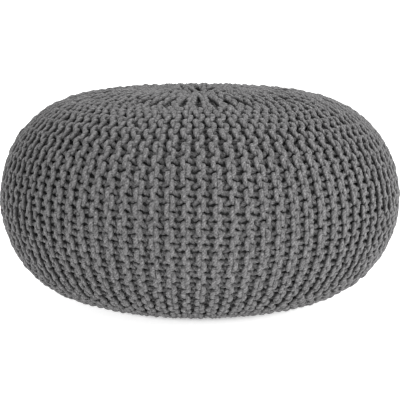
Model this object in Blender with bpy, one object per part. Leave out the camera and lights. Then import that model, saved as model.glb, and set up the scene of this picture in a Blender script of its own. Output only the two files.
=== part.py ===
"""A knitted pouf: one firmly filled, round floor cushion in a thick garter-stitch cover.

Metres, +Z up. The origin is on the floor under the middle of the pouf. The cover is a single strip
of knitting, closed into a tube and gathered at the crown and at the base, so it is one soft piece:
a flat crown with a shallow gather, a round side and a base pressed flat by the weight. The solid
reaches as far as the crests of the knitted ribs.
"""
import math

import bmesh
import bpy
import numpy as np

# Driving dimensions
WIDTH = 0.550            # across the widest ring
HEIGHT = 0.288           # from the floor to the crown
WAIST_HEIGHT = 0.136     # from the floor to the widest ring
CROWN_FLATNESS = 4.04    # how flat the top stays before the shoulder turns down
CROWN_ROUNDNESS = 1.98   # how full the shoulder is
BASE_FLATNESS = 5.06
BASE_ROUNDNESS = 1.68
BASE_PRESS = 0.0015      # how much of the base the weight has pressed flat

# The gather in the middle of the crown
GATHER_RIBS = 11         # ribs that reach the drawstring hole
GATHER_DEPTH = 0.005
GATHER_RADIUS = 0.026
FLUTE_DEPTH = 0.0016     # height of a rib above the grooves beside it
FLUTE_RADIUS = 0.042     # where the ribs stand highest
FLUTE_REACH = 0.020

# Hand-made unevenness of the filling
BOW = 0.0030             # the middle stands this far to the right of the crown and the base
LOBES = ((2, 0.0013, 0.7), (3, 0.0009, 2.1))   # lobes round the side, height of each, turn of each

# Facets
COLUMNS = 8 * GATHER_RIBS   # one column of facets for each ridge of the knitting
RING_STEP = 0.0165       # distance between rings along the profile
PROFILE_SAMPLES = 600


def quarter_profile(height, flatness, roundness):
    """Return radius and height of one half of the outline, from its pole to the widest ring.

    The outline is (radius / half width) ** flatness + (z / height) ** roundness = 1.
    """
    share = np.linspace(0.0, 1.0, PROFILE_SAMPLES)
    turn = 0.5 * math.pi * share ** (0.5 * flatness)
    radius = 0.5 * WIDTH * np.sin(turn) ** (2.0 / flatness)
    rise = height * np.maximum(np.cos(turn), 0.0) ** (2.0 / roundness)
    return radius, rise


def outline():
    """Return the whole outline as rings of even spacing, from the base's rim to near the pole."""
    base_radius, base_drop = quarter_profile(WAIST_HEIGHT + BASE_PRESS, BASE_FLATNESS, BASE_ROUNDNESS)
    crown_radius, crown_rise = quarter_profile(HEIGHT - WAIST_HEIGHT, CROWN_FLATNESS, CROWN_ROUNDNESS)
    base_z = WAIST_HEIGHT - base_drop
    off_floor = base_z > 0.0
    rim_radius = float(np.interp(0.0, base_z, base_radius))
    radius = np.concatenate(([rim_radius], base_radius[off_floor][:-1], crown_radius[::-1]))
    z = np.concatenate(([0.0], base_z[off_floor][:-1], WAIST_HEIGHT + crown_rise[::-1]))
    length = np.concatenate(([0.0], np.cumsum(np.hypot(np.diff(radius), np.diff(z)))))
    rings = round(length[-1] / RING_STEP)
    marks = np.linspace(0.0, length[-1], rings + 1)[:-1]
    return np.interp(marks, length, radius), np.interp(marks, length, z)


def crown_gather(radius, angle, z):
    """Return how far the gather and its flutes move the crown up at one point."""
    if z < WAIST_HEIGHT:
        return 0.0
    dip = -GATHER_DEPTH * math.exp(-((radius / GATHER_RADIUS) ** 2))
    flute = FLUTE_DEPTH * math.exp(-(((radius - FLUTE_RADIUS) / FLUTE_REACH) ** 2))
    return dip + flute * (math.cos(GATHER_RIBS * angle) - 1.0)


def side_lobes(angle):
    """Return how far the filling's lobes push the side out at one angle."""
    return sum(size * math.cos(count * angle + turn) for count, size, turn in LOBES)


def surface_point(radius, z, angle):
    """Return one point of the pouf's surface."""
    reach = radius + side_lobes(angle) * radius / (0.5 * WIDTH)
    level = 2.0 * z / HEIGHT - 1.0
    sway = -BOW * level * level
    lifted = z + crown_gather(radius, angle, z)
    return (reach * math.cos(angle) + sway, reach * math.sin(angle), lifted)


def make_material(name, colour, roughness):
    """Return a matte cotton material."""
    material = bpy.data.materials.new(name)
    material.use_nodes = True
    shader = material.node_tree.nodes["Principled BSDF"]
    shader.inputs["Base Color"].default_value = (*colour, 1.0)
    shader.inputs["Roughness"].default_value = roughness
    shader.inputs["Metallic"].default_value = 0.0
    return material


def make_pouf():
    """Build the filled cover: rings joined by faces, a flat base and a gathered crown."""
    radii, heights = outline()
    angles = [2.0 * math.pi * column / COLUMNS for column in range(COLUMNS)]
    mesh = bmesh.new()
    rings = []
    for radius, z in zip(radii, heights):
        ring = [mesh.verts.new(surface_point(radius, z, angle)) for angle in angles]
        rings.append(ring)
    for lower, upper in zip(rings, rings[1:]):
        for column in range(COLUMNS):
            following = (column + 1) % COLUMNS
            mesh.faces.new((lower[column], lower[following], upper[following], upper[column]))
    mesh.faces.new(rings[0][::-1])
    pole = mesh.verts.new(surface_point(0.0, HEIGHT, 0.0))
    for column in range(COLUMNS):
        mesh.faces.new((rings[-1][column], rings[-1][(column + 1) % COLUMNS], pole))
    centre_on_origin(mesh)
    data = bpy.data.meshes.new("knitted_pouf")
    mesh.to_mesh(data)
    mesh.free()
    data.shade_smooth()
    data.set_sharp_from_angle(angle=math.radians(60.0))
    pouf = bpy.data.objects.new("knitted_pouf", data)
    data.materials.append(make_material("cotton_cord", (0.145, 0.145, 0.147), 0.92))
    bpy.context.collection.objects.link(pouf)
    return pouf


def centre_on_origin(mesh):
    """Slide the mesh sideways until its box is centred over the origin."""
    sides = [[vert.co[axis] for vert in mesh.verts] for axis in (0, 1)]
    shift = [-0.5 * (max(side) + min(side)) for side in sides]
    bmesh.ops.translate(mesh, verts=mesh.verts, vec=(shift[0], shift[1], 0.0))


def main():
    """Clear the scene and build the pouf."""
    for old in list(bpy.data.objects):
        bpy.data.objects.remove(old, do_unlink=True)
    make_pouf()


main()
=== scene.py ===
"""Looks of the knitted pouf, laid out as an add-on and run as a script.

The cover is knitted here stitch by stitch. Its rows run from the crown to the base, two rows make
one raised ridge, and short rows between them shape the round. Every row is one tube of cotton cord
carried along its own looping path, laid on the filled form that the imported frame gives.
"""
import math

import bpy
import numpy as np
from bpy.props import FloatProperty, FloatVectorProperty, IntProperty, PointerProperty
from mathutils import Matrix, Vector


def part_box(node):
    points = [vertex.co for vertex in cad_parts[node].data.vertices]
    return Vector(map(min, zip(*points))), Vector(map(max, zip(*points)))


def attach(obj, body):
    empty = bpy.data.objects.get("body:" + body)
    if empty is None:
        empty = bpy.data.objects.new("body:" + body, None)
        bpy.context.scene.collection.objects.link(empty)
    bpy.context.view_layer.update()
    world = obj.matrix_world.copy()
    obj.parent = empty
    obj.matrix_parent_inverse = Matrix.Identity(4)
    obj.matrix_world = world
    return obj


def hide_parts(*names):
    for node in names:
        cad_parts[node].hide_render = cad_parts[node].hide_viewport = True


bl_info = {
    "name": "Knitted pouf",
    "version": (1, 0, 0),
    "blender": (4, 5, 0),
    "location": "3D View > Sidebar > Pouf",
    "description": "Knits the cover of a round pouf over its packed frame",
    "category": "Add Mesh",
}

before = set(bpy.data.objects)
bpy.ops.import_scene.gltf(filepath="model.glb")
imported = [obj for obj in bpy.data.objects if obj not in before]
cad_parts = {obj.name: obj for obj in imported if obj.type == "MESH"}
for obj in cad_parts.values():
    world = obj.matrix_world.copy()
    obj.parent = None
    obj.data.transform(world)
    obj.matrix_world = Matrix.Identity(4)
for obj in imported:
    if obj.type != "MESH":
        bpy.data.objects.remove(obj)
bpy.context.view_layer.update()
NODE = "knitted_pouf"
BODY = "root"
LOW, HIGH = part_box(NODE)

PROFILE_SAMPLES = 900                          # points on the crown's and the base's outline
RIDGES_PER_WEDGE = 8                           # one whole ridge and seven short ones
SECTORS = 8                                    # meshes that the rows are shared among
SEED = 20                                      # of the random differences between stitches
CORD_SIDES = 6
STEPS_PER_STITCH = 16
DWELL = 0.40                                   # how much closer the steps lie at a stitch's front
FLOOR_GAP = 0.0003                             # least height of the cord over the floor


# ---------------------------------------------------------------- settings

class PoufShape(bpy.types.PropertyGroup):
    """Sizes of the filled form."""

    half_width: FloatProperty(
        name="Half width", description="Middle to the widest ring, before the lobes",
        default=0.25 * (HIGH.x - LOW.x + HIGH.y - LOW.y), unit="LENGTH")
    height: FloatProperty(
        name="Height", description="Floor to the crown", default=HIGH.z - LOW.z, unit="LENGTH")
    waist: FloatProperty(
        name="Waist", description="Floor to the widest ring", default=0.136, unit="LENGTH")
    crown_flatness: FloatProperty(
        name="Crown flatness", description="How long the top stays flat", default=4.04)
    crown_roundness: FloatProperty(
        name="Crown roundness", description="How full the shoulder is", default=1.98)
    base_flatness: FloatProperty(
        name="Base flatness", description="How long the underside stays flat", default=5.06)
    base_roundness: FloatProperty(
        name="Base roundness", description="How full the lower side is", default=1.68)
    base_press: FloatProperty(
        name="Base press", description="How much the weight presses the base flat",
        default=0.0015, unit="LENGTH")
    bow: FloatProperty(
        name="Bow", description="How far the middle stands to the right of crown and base",
        default=0.0030, unit="LENGTH")
    gather_depth: FloatProperty(
        name="Gather depth", description="How far the drawstring pulls the cover in",
        default=0.020, unit="LENGTH")
    gather_radius: FloatProperty(
        name="Gather radius", description="Reach of the dip round the drawstring",
        default=0.017, unit="LENGTH")


class PoufKnit(bpy.types.PropertyGroup):
    """Gauge of the knitting and thickness of the cord."""

    wedges: IntProperty(
        name="Wedges", description="Ridges that run the whole way from crown to base", default=11)
    stitch: FloatProperty(
        name="Stitch", description="Length of a stitch along its row",
        default=0.0189, unit="LENGTH")
    stitch_ease: FloatProperty(
        name="Stitch ease", description="How much longer the stitches are at the crown, and "
        "shorter at the base, than at the side", default=0.20)
    cord_width: FloatProperty(
        name="Cord width", description="Width of the cord where it lies flattened",
        default=0.0068, unit="LENGTH")
    cord_thickness: FloatProperty(
        name="Cord thickness", description="Thickness of the cord off the surface",
        default=0.0059, unit="LENGTH")
    cord_core: FloatProperty(
        name="Cord core", description="How near two cords press together", default=0.0043,
        unit="LENGTH")
    cord_length: FloatProperty(
        name="Cord length", description="Length of cord in one stitch", default=0.055,
        unit="LENGTH")
    lean: FloatProperty(
        name="Lean", description="How far the front of the cloth rides up over its back, in "
        "relation to its thickness", default=0.45)
    pucker: FloatProperty(
        name="Pucker", description="How much deeper the ridges stand where they are drawn together",
        default=0.42)
    ride: FloatProperty(
        name="Ride", description="How far the cover stands out at the top and draws in at the base",
        default=0.0012, unit="LENGTH")
    unevenness: FloatProperty(
        name="Unevenness", description="How much one stitch differs from the next", default=1.0)


class PoufFinish(bpy.types.PropertyGroup):
    """Colour of the cord."""

    colour: FloatVectorProperty(
        name="Colour", description="Colour of the cotton cord",
        default=(0.0955, 0.0940, 0.0952), size=3, subtype="COLOR")
    # Painted shade: the back loops are painted far darker than the cord, for the shade deep in the
    # gaps
    shade: FloatVectorProperty(
        name="Shade", description="Colour of the back loops, deep in the gaps",
        default=(0.020, 0.020, 0.020), size=3, subtype="COLOR")
    roughness: FloatProperty(name="Roughness", description="Dullness of the cotton", default=0.93)


class PoufStage(bpy.types.PropertyGroup):
    """The camera's place, aim and lens."""

    camera_distance: FloatProperty(
        name="Distance", description="Camera to the middle of the pouf",
        default=1.760, unit="LENGTH")
    camera_rise: FloatProperty(
        name="Rise", description="Camera's height angle", default=math.radians(10.1),
        subtype="ANGLE")
    lens: FloatProperty(name="Lens", description="Focal length in millimetres", default=113.5)
    aim_drop: FloatProperty(
        name="Aim drop", description="How far below the waist the camera aims",
        default=0.0047, unit="LENGTH")


# ---------------------------------------------------------------- the filled form

LOBES = ((2, 0.0013, 0.7), (3, 0.0009, 2.1))   # lobes round the side, height of each, turn of each


def smooth(share):
    """Smooth step of a share: three squares less two cubes, level at 0 and at 1."""
    return share * share * (3.0 - 2.0 * share)


def fade(value, none, full):
    """0 where the value is at none or beyond, 1 at full or beyond, on a smooth step between."""
    return smooth(np.clip((value - none) / (full - none), 0.0, 1.0))


def quarter_profile(half_width, height, flatness, roundness):
    """Radius and rise from the pole to the widest ring, on a curve where the sum of
    (radius / half width) ** flatness and (rise / height) ** roundness is one."""
    share = np.linspace(0.0, 1.0, PROFILE_SAMPLES)
    turn = 0.5 * math.pi * share ** (0.5 * flatness)
    radius = half_width * np.sin(turn) ** (2.0 / flatness)
    rise = height * np.maximum(np.cos(turn), 0.0) ** (2.0 / roundness)
    return radius, rise


def skin_profile(shape):
    """Radius and height of the form's skin, from the crown's pole to the base's."""
    crown_radius, crown_rise = quarter_profile(
        shape.half_width, shape.height - shape.waist, shape.crown_flatness, shape.crown_roundness)
    base_radius, base_drop = quarter_profile(
        shape.half_width, shape.waist + shape.base_press, shape.base_flatness, shape.base_roundness)
    radius = np.concatenate((crown_radius, base_radius[-2::-1]))
    z = np.concatenate((shape.waist + crown_rise, shape.waist - base_drop[-2::-1]))
    return radius, np.maximum(z, 0.0)


def evenly(radius, z, count):
    """The same outline at points of even spacing, with the distance run to each."""
    run = np.concatenate(([0.0], np.cumsum(np.hypot(np.diff(radius), np.diff(z)))))
    marks = np.linspace(0.0, run[-1], count)
    return marks, np.interp(marks, run, radius), np.interp(marks, run, z)


def outward(radius, z):
    """Unit normals of an outline, pointing out of the form: the tangent turned a quarter left."""
    along_radius, along_z = np.gradient(radius), np.gradient(z)
    size = np.hypot(along_radius, along_z)
    return -along_z / size, along_radius / size


class Form:
    """The skin of the pouf: an outline turned about the axis, with the filling's lobes."""

    def __init__(self, shape):
        """Draw the crown and base of the outline into their gathers, and space it evenly."""
        radius, z = skin_profile(shape)
        pull = shape.gather_depth * np.exp(-((radius / shape.gather_radius) ** 2))
        z = z + np.where(z > shape.waist, -pull, pull)
        self.run, self.radius, self.z = evenly(radius, z, 2 * PROFILE_SAMPLES)
        self.normal_radius, self.normal_z = outward(self.radius, self.z)
        self.length = self.run[-1]
        self.shape = shape

    def radius_at(self, run):
        """Distance from the axis at a distance run down from the crown."""
        return np.interp(run, self.run, self.radius)

    def run_at(self, radius, low):
        """Distance run where the outline has this radius, above the waist or below it."""
        widest = int(np.argmax(self.radius))
        if low:
            return float(np.interp(-radius, -self.radius[widest:], self.run[widest:]))
        return float(np.interp(radius, self.radius[:widest], self.run[:widest]))

    def normal(self, run, angle):
        """Unit normals of the form."""
        across = np.interp(run, self.run, self.normal_radius)
        return np.stack(
            (across * np.cos(angle), across * np.sin(angle),
             np.interp(run, self.run, self.normal_z)), axis=-1)

    def place(self, run, angle, off):
        """Points at a distance run down from the crown, at an angle, and off the skin.

        The lobes push the side out in waves of the angle, and the bow slides the middle along X.
        """
        radius = self.radius_at(run) + off * np.interp(run, self.run, self.normal_radius)
        z = np.interp(run, self.run, self.z) + off * np.interp(run, self.run, self.normal_z)
        lobes = sum(size * np.cos(count * angle + turn) for count, size, turn in LOBES)
        reach = radius * (1.0 + lobes / self.shape.half_width)
        level = 2.0 * z / self.shape.height - 1.0
        x = reach * np.cos(angle) - self.shape.bow * level * level
        return np.stack((x, reach * np.sin(angle), z), axis=-1)


# ---------------------------------------------------------------- the layout of the rows

START_RADII = (0.0, 0.037, 0.074, 0.156)       # where the ridges of each length begin
TIP_RAMP = (-0.6, 1.3)                         # stitches over which a new ridge opens
GATHER_HOLE = 0.007                            # radius at which the rows end, at crown and base
FIRST_RIDGE = 0.076                            # turn of the first ridge from the right


class Layout:
    """Where each ridge of the cover starts, ends and lies."""

    def __init__(self, knit, form):
        """Fit whole stitches to the outline and share the round among the ridges at each run."""
        self.count = knit.wedges * RIDGES_PER_WEDGE
        self.top = form.run_at(GATHER_HOLE, low=False)
        self.span = form.run_at(GATHER_HOLE, low=True) - self.top
        self.stitches = round(self.span / knit.stitch)
        self.ease = knit.stitch_ease
        self.run = form.run
        self.spots = np.linspace(-1.0, self.stitches + 1.0, PROFILE_SAMPLES)
        self.spot = self.spot_at(self.run)
        self.starts, self.ends = [], []
        shares = []
        for ridge in range(self.count):
            level = self.level(ridge)
            first, last = 0, self.stitches
            if level > 0:
                radius = START_RADII[level]
                first = round(float(self.spot_at(form.run_at(radius, low=False))))
                last = round(float(self.spot_at(form.run_at(radius, low=True))))
            self.starts.append(first)
            self.ends.append(last)
            shares.append(self.opening(first, last) if level > 0 else np.ones_like(self.run))
        shares = np.array(shares)
        whole = shares.sum(axis=0)
        before = np.cumsum(shares, axis=0) - 0.5 * shares - 0.5 * shares[0]
        self.centre = FIRST_RIDGE + 2.0 * math.pi * before / whole
        self.full = math.pi / whole
        self.half = math.pi * shares / whole

    def run_at(self, spot):
        """Distance run at a count of stitches: the even share plus the ease times a half sine."""
        share = spot / self.stitches
        return self.top + self.span * (share + self.ease * np.sin(math.pi * share) / math.pi)

    def spot_at(self, run):
        """Count of stitches at a distance run."""
        return np.interp(run, self.run_at(self.spots), self.spots)

    @staticmethod
    def level(ridge):
        """0 for a ridge that runs the whole way, up to 3 for the shortest, every second one."""
        for level, every in enumerate((RIDGES_PER_WEDGE, 4, 2)):
            if ridge % every == 0:
                return level
        return 3

    def opening(self, first, last):
        """Share of its full width that a short ridge has at each run: a smooth step at each end."""
        return np.minimum(fade(self.spot - first, *TIP_RAMP), fade(last - self.spot, *TIP_RAMP))


RIPPLES = 7                                    # waves in each set
RIPPLE_TURNS = (1, 9)                          # whole waves round the pouf, the last one left out
RIPPLE_PITCH = (4.0, 26.0)                     # radians per metre of run
RIPPLE_SHARE = (0.5, 1.0)                      # height of one wave among the others


def ripples(rng):
    """Random waves over the angle and the run: turns, pitch, phase and share of each."""
    return [
        (int(rng.integers(*RIPPLE_TURNS)), rng.uniform(*RIPPLE_PITCH),
         rng.uniform(0.0, 2.0 * math.pi), rng.uniform(*RIPPLE_SHARE))
        for _ in range(RIPPLES)
    ]


def ripple(waves, angle, run):
    """Sum of share times sin(turns times angle + pitch times run + phase), scaled to about one."""
    total = sum(
        share * np.sin(turns * angle + pitch * run + phase)
        for turns, pitch, phase, share in waves)
    return total / math.sqrt(len(waves))


def between(values, spot):
    """Smooth curve through one value for each half stitch."""
    whole = np.clip(np.floor(spot).astype(int), 0, len(values) - 2)
    ease = smooth(np.clip(spot - whole, 0.0, 1.0))
    return values[whole] * (1.0 - ease) + values[whole + 1] * ease


# ---------------------------------------------------------------- the stitch at rest

REST_STEPS = 32                                # steps of cord in the stitch
REST_FINE = 256                                # steps of the smooth curve drawn through them
REST_PASSES = 300
REST_SPACINGS = (0.0095, 0.0125, 0.016, 0.020)     # of the ridges, worked out one by one
FIRST_GUESS = (0.19, 0.0033, 0.0055)           # bulge in stitches, reach over the line, height
EVEN_OUT = 8.0e-5                              # how fast a pass evens out the bends
PULL_BACK = 0.36                               # share of a step's stretch that one pull takes away
PULLS = 2                                      # pulls in each pass
PUSH_APART = 0.7                               # share of an overlap that one push takes away
SAME_CORD = 1.7                                # cores of cord within which it doesn't push itself
REPEATS = (-2, -1, 0, 1, 2)                    # stitches up and down the row that can be touched


def rest_stitch(knit, spacing):
    """Centre line of one stitch at rest: run, distance from the ridge line, height off the middle.

    It starts from a plain loop, with t turning once a stitch: the run is t and a bulge of sin 2t,
    and the distance and the height both swing with cos t. Each pass evens out the bends, brings
    every step back to its length, and pushes apart any two cords that are nearer than the core.
    The neighbours are the same stitch mirrored in the ridge line and moved by half a stitch.
    """
    bulge, reach, height = FIRST_GUESS
    part = np.arange(REST_STEPS) / REST_STEPS
    t = 2.0 * math.pi * part
    straight = np.stack((knit.stitch * part, 0.0 * part, 0.0 * part), axis=-1)
    points = straight + np.stack((
        knit.stitch * bulge * np.sin(2.0 * t),
        -0.25 * spacing - (0.25 * spacing + reach) * np.cos(t),
        -height * np.cos(t)), axis=-1)
    period = np.array((knit.stitch, 0.0, 0.0))
    beside = np.array((0.0, spacing, 0.0))
    soften = 1.0 / (1.0 + EVEN_OUT * np.arange(REST_STEPS // 2 + 1.0)[:, None] ** 4)
    step_length = knit.cord_length / REST_STEPS
    order = np.concatenate([np.arange(REST_STEPS) + turn * REST_STEPS for turn in REPEATS])
    apart = np.abs(order[None, :] - np.arange(REST_STEPS)[:, None]) * step_length
    same_cord = apart < SAME_CORD * knit.cord_core
    other_cords = np.zeros((REST_STEPS, 4 * len(REPEATS) * REST_STEPS), bool)
    skip = np.concatenate((same_cord, other_cords), axis=1)
    for _ in range(REST_PASSES):
        points = straight + np.fft.irfft(
            np.fft.rfft(points - straight, axis=0) * soften, REST_STEPS, axis=0)
        for _ in range(PULLS):
            ahead = np.roll(points, -1, axis=0)
            ahead[-1] += period
            step = ahead - points
            pull = PULL_BACK * (1.0 - step_length / np.linalg.norm(step, axis=1)[:, None]) * step
            points = points + pull - np.roll(pull, 1, axis=0)
        mirrored = points * (1.0, -1.0, 1.0) + 0.5 * period
        rows = (points, mirrored, mirrored - beside, points + beside, points - beside)
        near = np.concatenate([row + turn * period for row in rows for turn in REPEATS])
        gap = points[:, None] - near[None, :]
        distance = np.maximum(np.linalg.norm(gap, axis=2), 1.0e-6)
        overlap = np.where(skip, 0.0, np.maximum(knit.cord_core - distance, 0.0))
        touching = np.maximum((overlap > 0.0).sum(axis=1), 1)[:, None]
        push = ((overlap / distance)[..., None] * gap).sum(axis=1) / touching
        points = points + PUSH_APART * push
        points[:, 2] -= 0.5 * (points[:, 2].max() + points[:, 2].min())
    points[:, 0] -= straight[:, 0] + np.mean(points[:, 0] - straight[:, 0])
    return points


class RestShape:
    """The stitch at rest at any spacing of the ridges, from a few that are worked out."""

    def __init__(self, knit):
        """Work out the stitch at each spacing."""
        self.spacings = np.array(REST_SPACINGS)
        worked = np.array([rest_stitch(knit, spacing) for spacing in REST_SPACINGS])
        self.table = np.fft.irfft(np.fft.rfft(worked, axis=1), REST_FINE, axis=1) * (
            REST_FINE / REST_STEPS)
        self.height = self.table[:, :, 2].max(axis=1)

    def at(self, part, spacing):
        """Run beyond the plain share, distance from the ridge line and height, at a part of the
        stitch and a spacing, by linear steps between the worked-out ones."""
        place = np.interp(spacing, self.spacings, np.arange(len(self.spacings)))
        low = np.minimum(place.astype(int), len(self.spacings) - 2)
        mix = (place - low)[:, None]
        step = np.mod(part, 1.0) * REST_FINE
        here = np.floor(step).astype(int) % REST_FINE
        after = (here + 1) % REST_FINE
        share = (step - np.floor(step))[:, None]
        lower = self.table[low, here] * (1.0 - share) + self.table[low, after] * share
        upper = self.table[low + 1, here] * (1.0 - share) + self.table[low + 1, after] * share
        return lower * (1.0 - mix) + upper * mix

    def tall(self, spacing):
        """Height of the loops over the middle of the cloth at a spacing."""
        return np.interp(spacing, self.spacings, self.height)


# ---------------------------------------------------------------- the rows

# Zones of the cover: the share of the widest radius where each begins, and where it is full
SHOULDER_RISE = (0.97, 0.62)                   # the ridges stand up more
GATHER_RISE = (0.70, 0.45)                     # and more again
LOOSE_ZONE = (0.92, 0.80)                      # slack loops on the shoulder
TAUT_ZONE = (0.66, 0.52)                       # crown and base, drawn together by the gathers
ABOVE_WAIST = (-0.2, 0.2)                      # level from which the crown's own draw-in begins

# Height of the ridges, against a stitch at rest
SIDE_STAND = 0.84
SHOULDER_STAND = 0.7                           # share of the pucker

# How far each half stitch differs from the next, at a random number of one
SLIP = 0.048                                   # in stitches, along the row
SWAY = 0.00065                                 # across the row
LIFT = 0.00050                                 # off the skin
GIRTH = 0.035                                  # share of the cord's thickness

# Slow waves over many stitches, along the rows and across them
RUN_WAVE, SIDE_WAVE = 0.0022, 0.0011

# Changes of the loops in the loose and taut zones
LOOSE_REACH, TAUT_REACH = 0.15, -0.10          # over the ridge line, as a share of the reach
LOOSE_BULGE = -0.25                            # share of the run that the stitch at rest adds
LOOSE_LEAN = 0.5                               # share of the lean
ZONE_GIRTH = 0.06                              # share of the cord's thickness
LOOSE_FRONT, TAUT_FRONT = -0.18, -0.10         # of the front value, so more painted shade in the gaps

SKIN_DEPTH = 0.0005                            # crests under the skin
CROWN_DRAW = 0.0012                            # how much deeper they lie on the crown
NARROWEST = 0.55                               # least width of an opening ridge, in full ones
THINNEST = 0.62                                # least girth of the cord, where ridges crowd
CROWDED = 0.75                                 # cord widths in a ridge's half at which it thins
AXIS_GAP = 0.004                               # least radius that turns a distance into an angle


def pucker(knit, form, radius):
    """How far the ridges stand, against a stitch at rest: least round the stretched side, more on
    the shoulders, and most where the ridges run to the gathers."""
    share = radius / form.radius.max()
    return SIDE_STAND + knit.pucker * (
        SHOULDER_STAND * fade(share, *SHOULDER_RISE) + fade(share, *GATHER_RISE))


def row_path(knit, form, layout, rest, waves, ridge, side, rng):
    """Centre line of one row's cord, with the form's normal, a size factor and a front value.

    The cord runs down the row through the stitch at rest for the spacing that the ridges have
    there, its front level with the skin, and a little slip, sway and lift is added to each stitch.
    The front value is 0 at the back of the cloth and 1 on the crests; the cord's painted shade
    follows it.
    """
    first, last = layout.starts[ridge], layout.ends[ridge]
    lead = 0.0 if side < 0 else -0.5
    whole = int(last - first - 2.0 * lead)
    even = np.linspace(0.0, whole, whole * STEPS_PER_STITCH + 1)
    step = even + DWELL * np.sin(2.0 * math.pi * even) / (2.0 * math.pi)
    spot = first + lead + step
    jitter = rng.normal(0.0, 1.0, (4, 2 * (last - first) + 4)) * knit.unevenness
    slip, sway, lift, girth = (between(values, 2.0 * step) for values in jitter)

    base_run = np.clip(layout.run_at(spot), 0.0, form.length)
    centre = np.interp(base_run, layout.run, layout.centre[ridge])
    radius = form.radius_at(base_run)
    half = np.interp(base_run, layout.run, layout.half[ridge]) * radius
    full = np.interp(base_run, layout.run, layout.full) * radius
    level = 2.0 * np.interp(base_run, form.run, form.z) / form.shape.height - 1.0
    share = radius / form.radius.max()
    taut = fade(share, *TAUT_ZONE)
    loose = fade(share, *LOOSE_ZONE) * (1.0 - taut)

    # The row lies in the middle of its half of the ridge, a quarter of the spacing off the line
    spacing = 2.0 * np.maximum(half, NARROWEST * full)
    known = np.clip(spacing, rest.spacings[0], rest.spacings[-1])
    scale = np.minimum(spacing / rest.spacings[0], 1.0)
    bend = rest.at(spot + lead, known)
    rise = scale * pucker(knit, form, radius)
    height = bend[:, 2] * rise
    crest = rest.tall(known) * rise

    more = (LOOSE_REACH * loose + TAUT_REACH * taut) * np.maximum(bend[:, 1], 0.0)
    across = side * (0.5 * half - (bend[:, 1] + 0.25 * known + more) * scale) + SWAY * sway
    off = (height - crest - 0.5 * knit.cord_thickness - SKIN_DEPTH + LIFT * lift
           + knit.ride * level - CROWN_DRAW * taut * fade(level, *ABOVE_WAIST))
    run = (layout.run_at(spot + SLIP * slip) + bend[:, 0] * scale * (1.0 + LOOSE_BULGE * loose)
           - knit.lean * (1.0 + LOOSE_LEAN * loose) * height)
    run = np.clip(run + RUN_WAVE * ripple(waves[0], centre, base_run), 0.0, form.length)
    across = across + SIDE_WAVE * ripple(waves[1], centre, base_run)
    angle = centre + across / np.maximum(radius, AXIS_GAP)
    size = (np.clip(full / (CROWDED * knit.cord_width), THINNEST, 1.0)
            * (1.0 + ZONE_GIRTH * (loose + taut)) * (1.0 + GIRTH * girth))
    # Front value, which sets the cord's painted shade: low at the back of the cloth, lowered more
    # in the loose and taut zones
    front = np.clip(
        (height + crest) / (2.0 * crest) + LOOSE_FRONT * loose + TAUT_FRONT * taut, 0.0, 1.0)
    return form.place(run, angle, off), form.normal(run, angle), size, front


# ---------------------------------------------------------------- tubes

def ring_quads(rings, sides):
    """Quads between rings of vertices that follow one another, as rings - 1 by sides by 4."""
    start = np.arange(rings - 1)[:, None] * sides
    here = np.arange(sides)[None, :]
    there = (here + 1) % sides
    return np.stack(
        (start + here, start + sides + here, start + sides + there, start + there), axis=-1)


def cord_tube(path, normal, width, thickness):
    """Vertices, faces and UVs of an oval tube carried along a path, open at both ends.

    Each ring is the middle point plus half the width times cos along the side direction (path
    crossed with the form's normal) plus half the thickness times sin along the up direction.
    U is the distance along the path and V the share of the turn round it.
    """
    tangent = np.gradient(path, axis=0)
    tangent /= np.linalg.norm(tangent, axis=1)[:, None]
    aside = np.cross(tangent, normal)
    aside /= np.maximum(np.linalg.norm(aside, axis=1), 1e-9)[:, None]
    upward = np.cross(aside, tangent)
    turn = 2.0 * math.pi * (np.arange(CORD_SIDES) + 0.5) / CORD_SIDES
    ring = (0.5 * width[:, None, None] * np.cos(turn)[None, :, None] * aside[:, None, :]
            + 0.5 * thickness[:, None, None] * np.sin(turn)[None, :, None] * upward[:, None, :])
    points = (path[:, None, :] + ring).reshape(-1, 3)
    faces = ring_quads(len(path), CORD_SIDES)
    run = np.concatenate(([0.0], np.cumsum(np.linalg.norm(np.diff(path, axis=0), axis=1))))
    here = np.arange(CORD_SIDES)[None, :]
    ends = (run[:-1, None] + 0 * here, run[1:, None] + 0 * here)
    along = np.stack((ends[0], ends[1], ends[1], ends[0]), axis=-1)
    around = np.stack((here, here, here + 1, here + 1), axis=-1) / CORD_SIDES + 0.0 * along
    uv = np.stack((along, around), axis=-1)
    return points, faces.reshape(-1, 4), uv.reshape(-1, 2)


def make_mesh(name, points, faces, uv, caps):
    """Put arrays of points, quads, end caps and UVs into a new mesh object, shaded smooth."""
    mesh = bpy.data.meshes.new(name)
    loops = np.concatenate((faces.ravel(), caps.ravel())).astype(np.int32)
    sizes = np.repeat([4, caps.shape[1]], [len(faces), len(caps)]).astype(np.int32)
    starts = np.concatenate(([0], np.cumsum(sizes)[:-1])).astype(np.int32)
    mesh.vertices.add(len(points))
    mesh.vertices.foreach_set("co", points.astype(np.float32).ravel())
    mesh.loops.add(len(loops))
    mesh.loops.foreach_set("vertex_index", loops)
    mesh.polygons.add(len(sizes))
    mesh.polygons.foreach_set("loop_start", starts)
    layer = mesh.uv_layers.new(name="cord")
    flat = np.zeros((len(loops), 2), np.float32)
    flat[:len(uv)] = uv
    layer.data.foreach_set("uv", flat.ravel())
    mesh.update(calc_edges=True)
    mesh.validate()
    mesh.shade_smooth()
    piece = bpy.data.objects.new(name, mesh)
    bpy.context.scene.collection.objects.link(piece)
    return piece


# ---------------------------------------------------------------- shader maths

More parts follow.
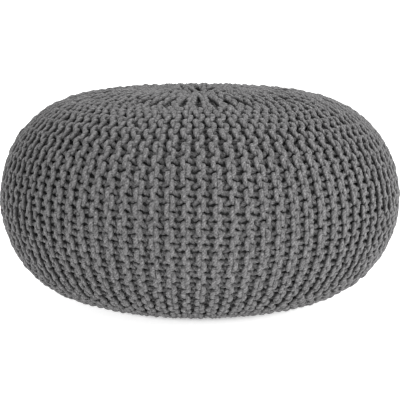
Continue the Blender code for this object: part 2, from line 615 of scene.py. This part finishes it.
class Socket:
    """One output of a node tree, on which Python operators add Math nodes."""

    def __init__(self, tree, output):
        """Keep the tree and the output socket."""
        self.tree = tree
        self.output = output

    def node(self, kind, settings=None, inputs=None, output=0):
        """Add any node: its type, then its settings, then the values or links of its sockets."""
        made = self.tree.nodes.new(kind)
        for name, value in (settings or {}).items():
            setattr(made, name, value)
        for name, value in (inputs or {}).items():
            socket = made.inputs[name]
            if isinstance(value, Socket):
                self.tree.links.new(value.output, socket)
            else:
                socket.default_value = value
        return Socket(self.tree, made.outputs[output])

    def sibling(self, output):
        """Another output of the node that this one belongs to."""
        return Socket(self.tree, self.output.node.outputs[output])

    def noise(self, settings):
        """Add a noise texture over this place."""
        return self.node("ShaderNodeTexNoise", {}, {"Vector": self, **settings})

    def maths(self, operation, first, second=0.0):
        """Add one Math node."""
        return self.node("ShaderNodeMath", {"operation": operation}, {0: first, 1: second})

    def __add__(self, other):
        return self.maths("ADD", self, other)

    __radd__ = __add__

    def __sub__(self, other):
        return self.maths("SUBTRACT", self, other)

    def __rsub__(self, other):
        return self.maths("SUBTRACT", other, self)

    def __mul__(self, other):
        return self.maths("MULTIPLY", self, other)

    __rmul__ = __mul__

    def sine(self):
        """Sine of this value."""
        return self.maths("SINE", self)

    def cosine(self):
        """Cosine of this value."""
        return self.maths("COSINE", self)

    def size(self):
        """This value without its sign."""
        return self.maths("ABSOLUTE", self)

    def mix(self, low, high):
        """Mix two colours by this value."""
        return self.node(
            "ShaderNodeMix", {"data_type": "RGBA", "clamp_factor": True},
            {"Factor": self, 6: low, 7: high}, output=2)

    def span(self, from_low, from_high, to_low=0.0, to_high=1.0):
        """Map one range of values to another, clamped."""
        return self.node(
            "ShaderNodeMapRange", {"clamp": True},
            {"Value": self, "From Min": from_low, "From Max": from_high,
             "To Min": to_low, "To Max": to_high})


SPECULAR = 0.25


def new_material(name, roughness):
    """A material with a matte Principled shader: returns it, its shader and a start socket."""
    material = bpy.data.materials.new(name)
    material.use_nodes = True
    tree = material.node_tree
    shader = tree.nodes["Principled BSDF"]
    shader.inputs["Roughness"].default_value = roughness
    shader.inputs["Specular IOR Level"].default_value = SPECULAR
    return material, shader, Socket(tree, None)


def link(socket, shader, name):
    """Feed a worked-out value into one socket of the shader."""
    socket.tree.links.new(socket.output, shader.inputs[name])


def times(colour, factor):
    """A colour made lighter or darker, with its alpha."""
    return (*[factor * channel for channel in colour], 1.0)


PLIES = 4                                      # strands twisted into the cord
PLY_TURN = 0.016                               # length of cord in which they turn once round
SHEEN, SHEEN_ROUGHNESS = 0.12, 0.6

# Noises on the cord, in waves per metre
CLOUD = {"Scale": 260.0, "Detail": 3.0, "Roughness": 0.6}      # mottling
PATCH = {"Scale": 14.0, "Detail": 2.0}                         # slow drift over the cover
FIBRE = {"Scale": 1500.0, "Detail": 2.0}
SPECK = {"Scale": 430.0, "Detail": 1.0}
BACK_CLOUD = {"Scale": 160.0, "Detail": 3.0}                   # on the back loops

# Share of each in the tone, and the range of it that counts
CLOUD_SHARE, CLOUD_RANGE = 0.28, (0.40, 0.60)
PATCH_SHARE, PATCH_RANGE = 0.06, (0.3, 0.7)
SPECK_SHARE, SPECK_RANGE = 0.46, (0.47, 0.66)
# Painted shade: the plies' share makes the grooves between the strands darker
PLY_SHARE, PLY_RANGE = 0.20, (0.0, 0.6)

# Colours, as factors of the finish's own: the painted shade, the cotton's dark and light, and the
# back loops' mottling
PAINTED_SHADE, DARK, LIGHT = 0.15, 0.50, 2.45
BACK_DARK, BACK_LIGHT, BACK_RANGE = 0.6, 1.5, (0.3, 0.7)

# Painted shade: the cord is painted deep at the back of the cloth and on its sides, where shade
# falls
FRONT_RANGE = (0.05, 0.47)
CREST_RANGE = (-0.15, 0.95, 0.08, 1.0)
CREST_TURN = math.pi / 3.0                     # from the start of the UV's turn to the crest

CLOUD_BUMP, FIBRE_BUMP = 0.9, 0.5              # heights, with the plies' own at 1
BUMP = {"Strength": 0.8, "Distance": 0.0012}


def cord_material(finish):
    """Matte cotton cord: mottling, specks, twisted plies and fibres, and painted shade in gaps and
    on its sides.

    The plies are the size of sin(pi plies (length / turn + share round the cord)).
    """
    material, shader, start = new_material("cotton_cord", finish.roughness)
    shader.inputs["Sheen Weight"].default_value = SHEEN
    shader.inputs["Sheen Roughness"].default_value = SHEEN_ROUGHNESS
    place = start.node("ShaderNodeTexCoord", output="Object")
    cloud, patch, fibre, speck = (
        place.noise(settings) for settings in (CLOUD, PATCH, FIBRE, SPECK))
    uv = start.node("ShaderNodeUVMap", {"uv_map": "cord"})
    along = start.node("ShaderNodeSeparateXYZ", {}, {0: uv})
    around = along.sibling(1)
    plies = (along * (math.pi * PLIES / PLY_TURN) + around * (math.pi * PLIES)).sine().size()
    tone_and_ply_shade = (CLOUD_SHARE * cloud.span(*CLOUD_RANGE) + PATCH_SHARE * patch.span(*PATCH_RANGE)
            + SPECK_SHARE * speck.span(*SPECK_RANGE) + PLY_SHARE * plies.span(*PLY_RANGE))
    front = start.node("ShaderNodeAttribute", {"attribute_name": "front"}, output=2)
    # Painted shade mask: 1 on the crest at the front of the cloth, falling to 0 in the gaps and
    # under the cord
    crest = (2.0 * math.pi * around - CREST_TURN).cosine()
    painted_lit = front.span(*FRONT_RANGE) * crest.span(*CREST_RANGE)
    cotton = tone_and_ply_shade.mix(times(finish.colour, DARK), times(finish.colour, LIGHT))
    link(painted_lit.mix(times(finish.colour, PAINTED_SHADE), cotton), shader, "Base Color")
    height = plies + CLOUD_BUMP * cloud + FIBRE_BUMP * fibre
    link(start.node("ShaderNodeBump", {}, {"Height": height, **BUMP}), shader, "Normal")
    return material


def painted_shade_material(finish):
    """The cover's back loops, seen only deep in the gaps: mottled, and far darker than the cord as
    painted shade.
    """
    material, shader, start = new_material("cotton_cord_painted_shade", finish.roughness)
    cloud = start.node("ShaderNodeTexCoord", output="Object").noise(BACK_CLOUD)
    dark, light = times(finish.shade, BACK_DARK), times(finish.shade, BACK_LIGHT)
    link(cloud.span(*BACK_RANGE).mix(dark, light), shader, "Base Color")
    return material


# ---------------------------------------------------------------- pieces

class POUF_OT_knit_cover(bpy.types.Operator):
    """Knit the cover: every row of stitches as a tube of cord, in sectors of the round"""

    bl_idname = "pouf.knit_cover"
    bl_label = "Knit the cover"

    def execute(self, context):
        """Work out all rows, close each tube with a flat cap at both ends, join them sector by
        sector and hang them on the frame."""
        knit = context.scene.pouf_knit
        form = Form(context.scene.pouf_shape)
        layout = Layout(knit, form)
        rest = RestShape(knit)
        rng = np.random.default_rng(SEED)
        waves = (ripples(rng), ripples(rng))
        material = cord_material(context.scene.pouf_finish)
        per_sector = layout.count // SECTORS
        for sector in range(SECTORS):
            points, faces, uvs, caps, fronts = [], [], [], [], []
            total = 0
            for ridge in range(sector * per_sector, (sector + 1) * per_sector):
                for side in (-1, 1):
                    path, normal, size, front = row_path(
                        knit, form, layout, rest, waves, ridge, side, rng)
                    tube, quads, uv = cord_tube(
                        path, normal, knit.cord_width * size, knit.cord_thickness * size)
                    tube[:, 2] = np.maximum(tube[:, 2], FLOOR_GAP)
                    points.append(tube)
                    fronts.append(np.repeat(front, CORD_SIDES))
                    faces.append(quads + total)
                    uvs.append(uv)
                    end = total + len(tube)
                    caps.append(total + np.arange(CORD_SIDES))
                    caps.append(end - 1 - np.arange(CORD_SIDES))
                    total = end
            piece = make_mesh(
                f"cover_sector_{sector + 1}", np.concatenate(points), np.concatenate(faces),
                np.concatenate(uvs), np.array(caps))
            layer = piece.data.attributes.new("front", "FLOAT", "POINT")
            layer.data.foreach_set("value", np.concatenate(fronts).astype(np.float32))
            piece.data.materials.append(material)
            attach(piece, BODY)
            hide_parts(NODE)
        return {"FINISHED"}


FILL_COLUMNS, FILL_RINGS = 176, 90
BACK_DEPTH = 0.0072                            # front loops' middle to the cover's back
BACK_RISE = (0.0, 0.08)                        # radii over which the back sinks to its depth


class POUF_OT_fill(bpy.types.Operator):
    """Make the filled form with the cover's back loops on it"""

    bl_idname = "pouf.fill"
    bl_label = "Fill the cover"

    def execute(self, context):
        """Build a closed round surface just behind the cord: rings of the form, set in by the
        back's depth, with a fan of triangles at each pole."""
        knit = context.scene.pouf_knit
        form = Form(context.scene.pouf_shape)
        run = np.linspace(0.0, form.length, FILL_RINGS + 2)[1:-1, None]
        here = np.arange(FILL_COLUMNS)
        angle = 2.0 * math.pi * here[None, :] / FILL_COLUMNS
        radius = form.radius_at(run)
        depth = (0.5 * knit.cord_thickness
                 + BACK_DEPTH * pucker(knit, form, radius) * fade(radius, *BACK_RISE))
        grid = form.place(run + 0 * angle, angle + 0 * run, -depth)
        points = np.concatenate((grid.reshape(-1, 3),
                                 [grid[0].mean(axis=0), grid[-1].mean(axis=0)]))
        quads = ring_quads(FILL_RINGS, FILL_COLUMNS).reshape(-1, 4)
        there = (here + 1) % FILL_COLUMNS
        last = (FILL_RINGS - 1) * FILL_COLUMNS
        top = np.full(FILL_COLUMNS, FILL_RINGS * FILL_COLUMNS)
        crown = np.stack((top, here, there), axis=-1)
        base = np.stack((top + 1, last + there, last + here), axis=-1)
        piece = make_mesh("cover_back_loops", points, quads, np.zeros((0, 2)),
                          np.concatenate((crown, base)))
        piece.data.materials.append(painted_shade_material(context.scene.pouf_finish))
        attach(piece, BODY)
        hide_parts(NODE)
        return {"FINISHED"}


# ---------------------------------------------------------------- stage

# Each lamp's name, place, width and power
LAMPS = (
    ("top_lamp", (0.25, 0.1, 1.9), 1.6, 8.0),
    ("right_lamp", (1.6, -1.6, 1.3), 0.9, 34.0),
    ("left_lamp", (-1.9, -1.6, 0.9), 0.9, 3.0),
)
SKY_STRENGTH = 1.02
SENSOR_WIDTH = 36.0                            # millimetres
FLOOR_REACH = 30.0
FLOOR_COLOUR = (0.88, 0.88, 0.88, 1.0)
FLOOR_ROUGHNESS = 0.9
# Painted light: the floor glows, though it is no lamp, to wash out the pouf's shadow on it; the
# glow also lights the pouf
FLOOR_GLOW = 0.80
GLOW_START = (0.12, 0.16)                      # distances from the middle, under the pouf
BLACK, WHITE = (0.0, 0.0, 0.0, 1.0), (1.0, 1.0, 1.0, 1.0)


def add_area_light(name, place, aim, size, power):
    """A soft round lamp at a place, turned to its aim."""
    lamp = bpy.data.lights.new(name, "AREA")
    lamp.shape = "DISK"
    lamp.size = size
    lamp.energy = power
    holder = bpy.data.objects.new(name, lamp)
    holder.location = place
    holder.rotation_euler = look_angles(np.array(aim) - np.array(place))
    bpy.context.scene.collection.objects.link(holder)


def look_angles(toward):
    """Euler angles that turn an object's -Z along a direction, with its X level."""
    flat = math.hypot(toward[0], toward[1])
    return (0.5 * math.pi + math.atan2(toward[2], flat), 0.0,
            math.atan2(toward[1], toward[0]) - 0.5 * math.pi)


class POUF_OT_stage(bpy.types.Operator):
    """Set up the pale floor, the soft lights and the camera"""

    bl_idname = "pouf.stage"
    bl_label = "Set the stage"

    def execute(self, context):
        """Build the floor, the sky, three soft lamps and the camera."""
        stage = context.scene.pouf_stage
        shape = context.scene.pouf_shape
        self.make_floor()
        self.make_sky(context.scene)
        middle = (0.0, 0.0, shape.waist)
        for name, place, size, power in LAMPS:
            add_area_light(name, place, middle, size, power)
        camera_data = bpy.data.cameras.new("camera")
        camera_data.lens = stage.lens
        camera_data.sensor_width = SENSOR_WIDTH
        camera = bpy.data.objects.new("camera", camera_data)
        place = np.array((0.0, -stage.camera_distance * math.cos(stage.camera_rise),
                          shape.waist + stage.camera_distance * math.sin(stage.camera_rise)))
        aim = np.array((0.0, 0.0, shape.waist - stage.aim_drop))
        camera.location = place
        camera.rotation_euler = look_angles(aim - place)
        context.scene.collection.objects.link(camera)
        context.scene.camera = camera
        context.scene.view_settings.view_transform = "Standard"
        return {"FINISHED"}

    @staticmethod
    def make_floor():
        """A large level floor at the pouf's base, glowing all round it and not under it: painted
        light on its shadow.
        """
        corners = [(x * FLOOR_REACH, y * FLOOR_REACH, 0.0)
                   for x, y in ((-1, -1), (1, -1), (1, 1), (-1, 1))]
        mesh = bpy.data.meshes.new("floor")
        mesh.from_pydata(corners, [], [(0, 1, 2, 3)])
        floor = bpy.data.objects.new("floor", mesh)
        material, shader, start = new_material("pale_floor", FLOOR_ROUGHNESS)
        shader.inputs["Base Color"].default_value = FLOOR_COLOUR
        place = start.node("ShaderNodeTexCoord", output="Object")
        away = start.node("ShaderNodeVectorMath", {"operation": "LENGTH"}, {0: place}, output=1)
        # Painted light: the glow is none under the pouf and full beyond it
        link(away.span(*GLOW_START).mix(BLACK, WHITE), shader, "Emission Color")
        shader.inputs["Emission Strength"].default_value = FLOOR_GLOW
        mesh.materials.append(material)
        bpy.context.scene.collection.objects.link(floor)

    @staticmethod
    def make_sky(scene):
        """An even pale light from all round."""
        world = bpy.data.worlds.new("sky")
        world.use_nodes = True
        background = world.node_tree.nodes["Background"]
        background.inputs["Color"].default_value = WHITE
        background.inputs["Strength"].default_value = SKY_STRENGTH
        scene.world = world


# ---------------------------------------------------------------- add-on

class POUF_PT_panel(bpy.types.Panel):
    """Sizes, colours and steps of the knitted pouf"""

    bl_idname = "POUF_PT_panel"
    bl_label = "Knitted pouf"
    bl_space_type = "VIEW_3D"
    bl_region_type = "UI"
    bl_category = "Pouf"

    def draw(self, context):
        """List the settings and one button for each step."""
        column = self.layout.column()
        for group in SETTINGS:
            settings = getattr(context.scene, group)
            for name in settings.__annotations__:
                column.prop(settings, name)
        for step in STEPS:
            column.operator(step)


SETTINGS = {
    "pouf_shape": PoufShape,
    "pouf_knit": PoufKnit,
    "pouf_finish": PoufFinish,
    "pouf_stage": PoufStage,
}
STEPS = ("pouf.stage", "pouf.fill", "pouf.knit_cover")
CLASSES = (*SETTINGS.values(), POUF_OT_stage, POUF_OT_fill, POUF_OT_knit_cover, POUF_PT_panel)


def register():
    """Register the classes and hang the settings on the scene."""
    for each in CLASSES:
        bpy.utils.register_class(each)
    for name, group in SETTINGS.items():
        setattr(bpy.types.Scene, name, PointerProperty(type=group))


def unregister():
    """Take everything off again."""
    for name in SETTINGS:
        delattr(bpy.types.Scene, name)
    for each in reversed(CLASSES):
        bpy.utils.unregister_class(each)


def main():
    """Build the stage and every piece."""
    register()
    bpy.ops.pouf.stage()
    bpy.ops.pouf.fill()
    bpy.ops.pouf.knit_cover()


if __name__ == "__main__":
    main()
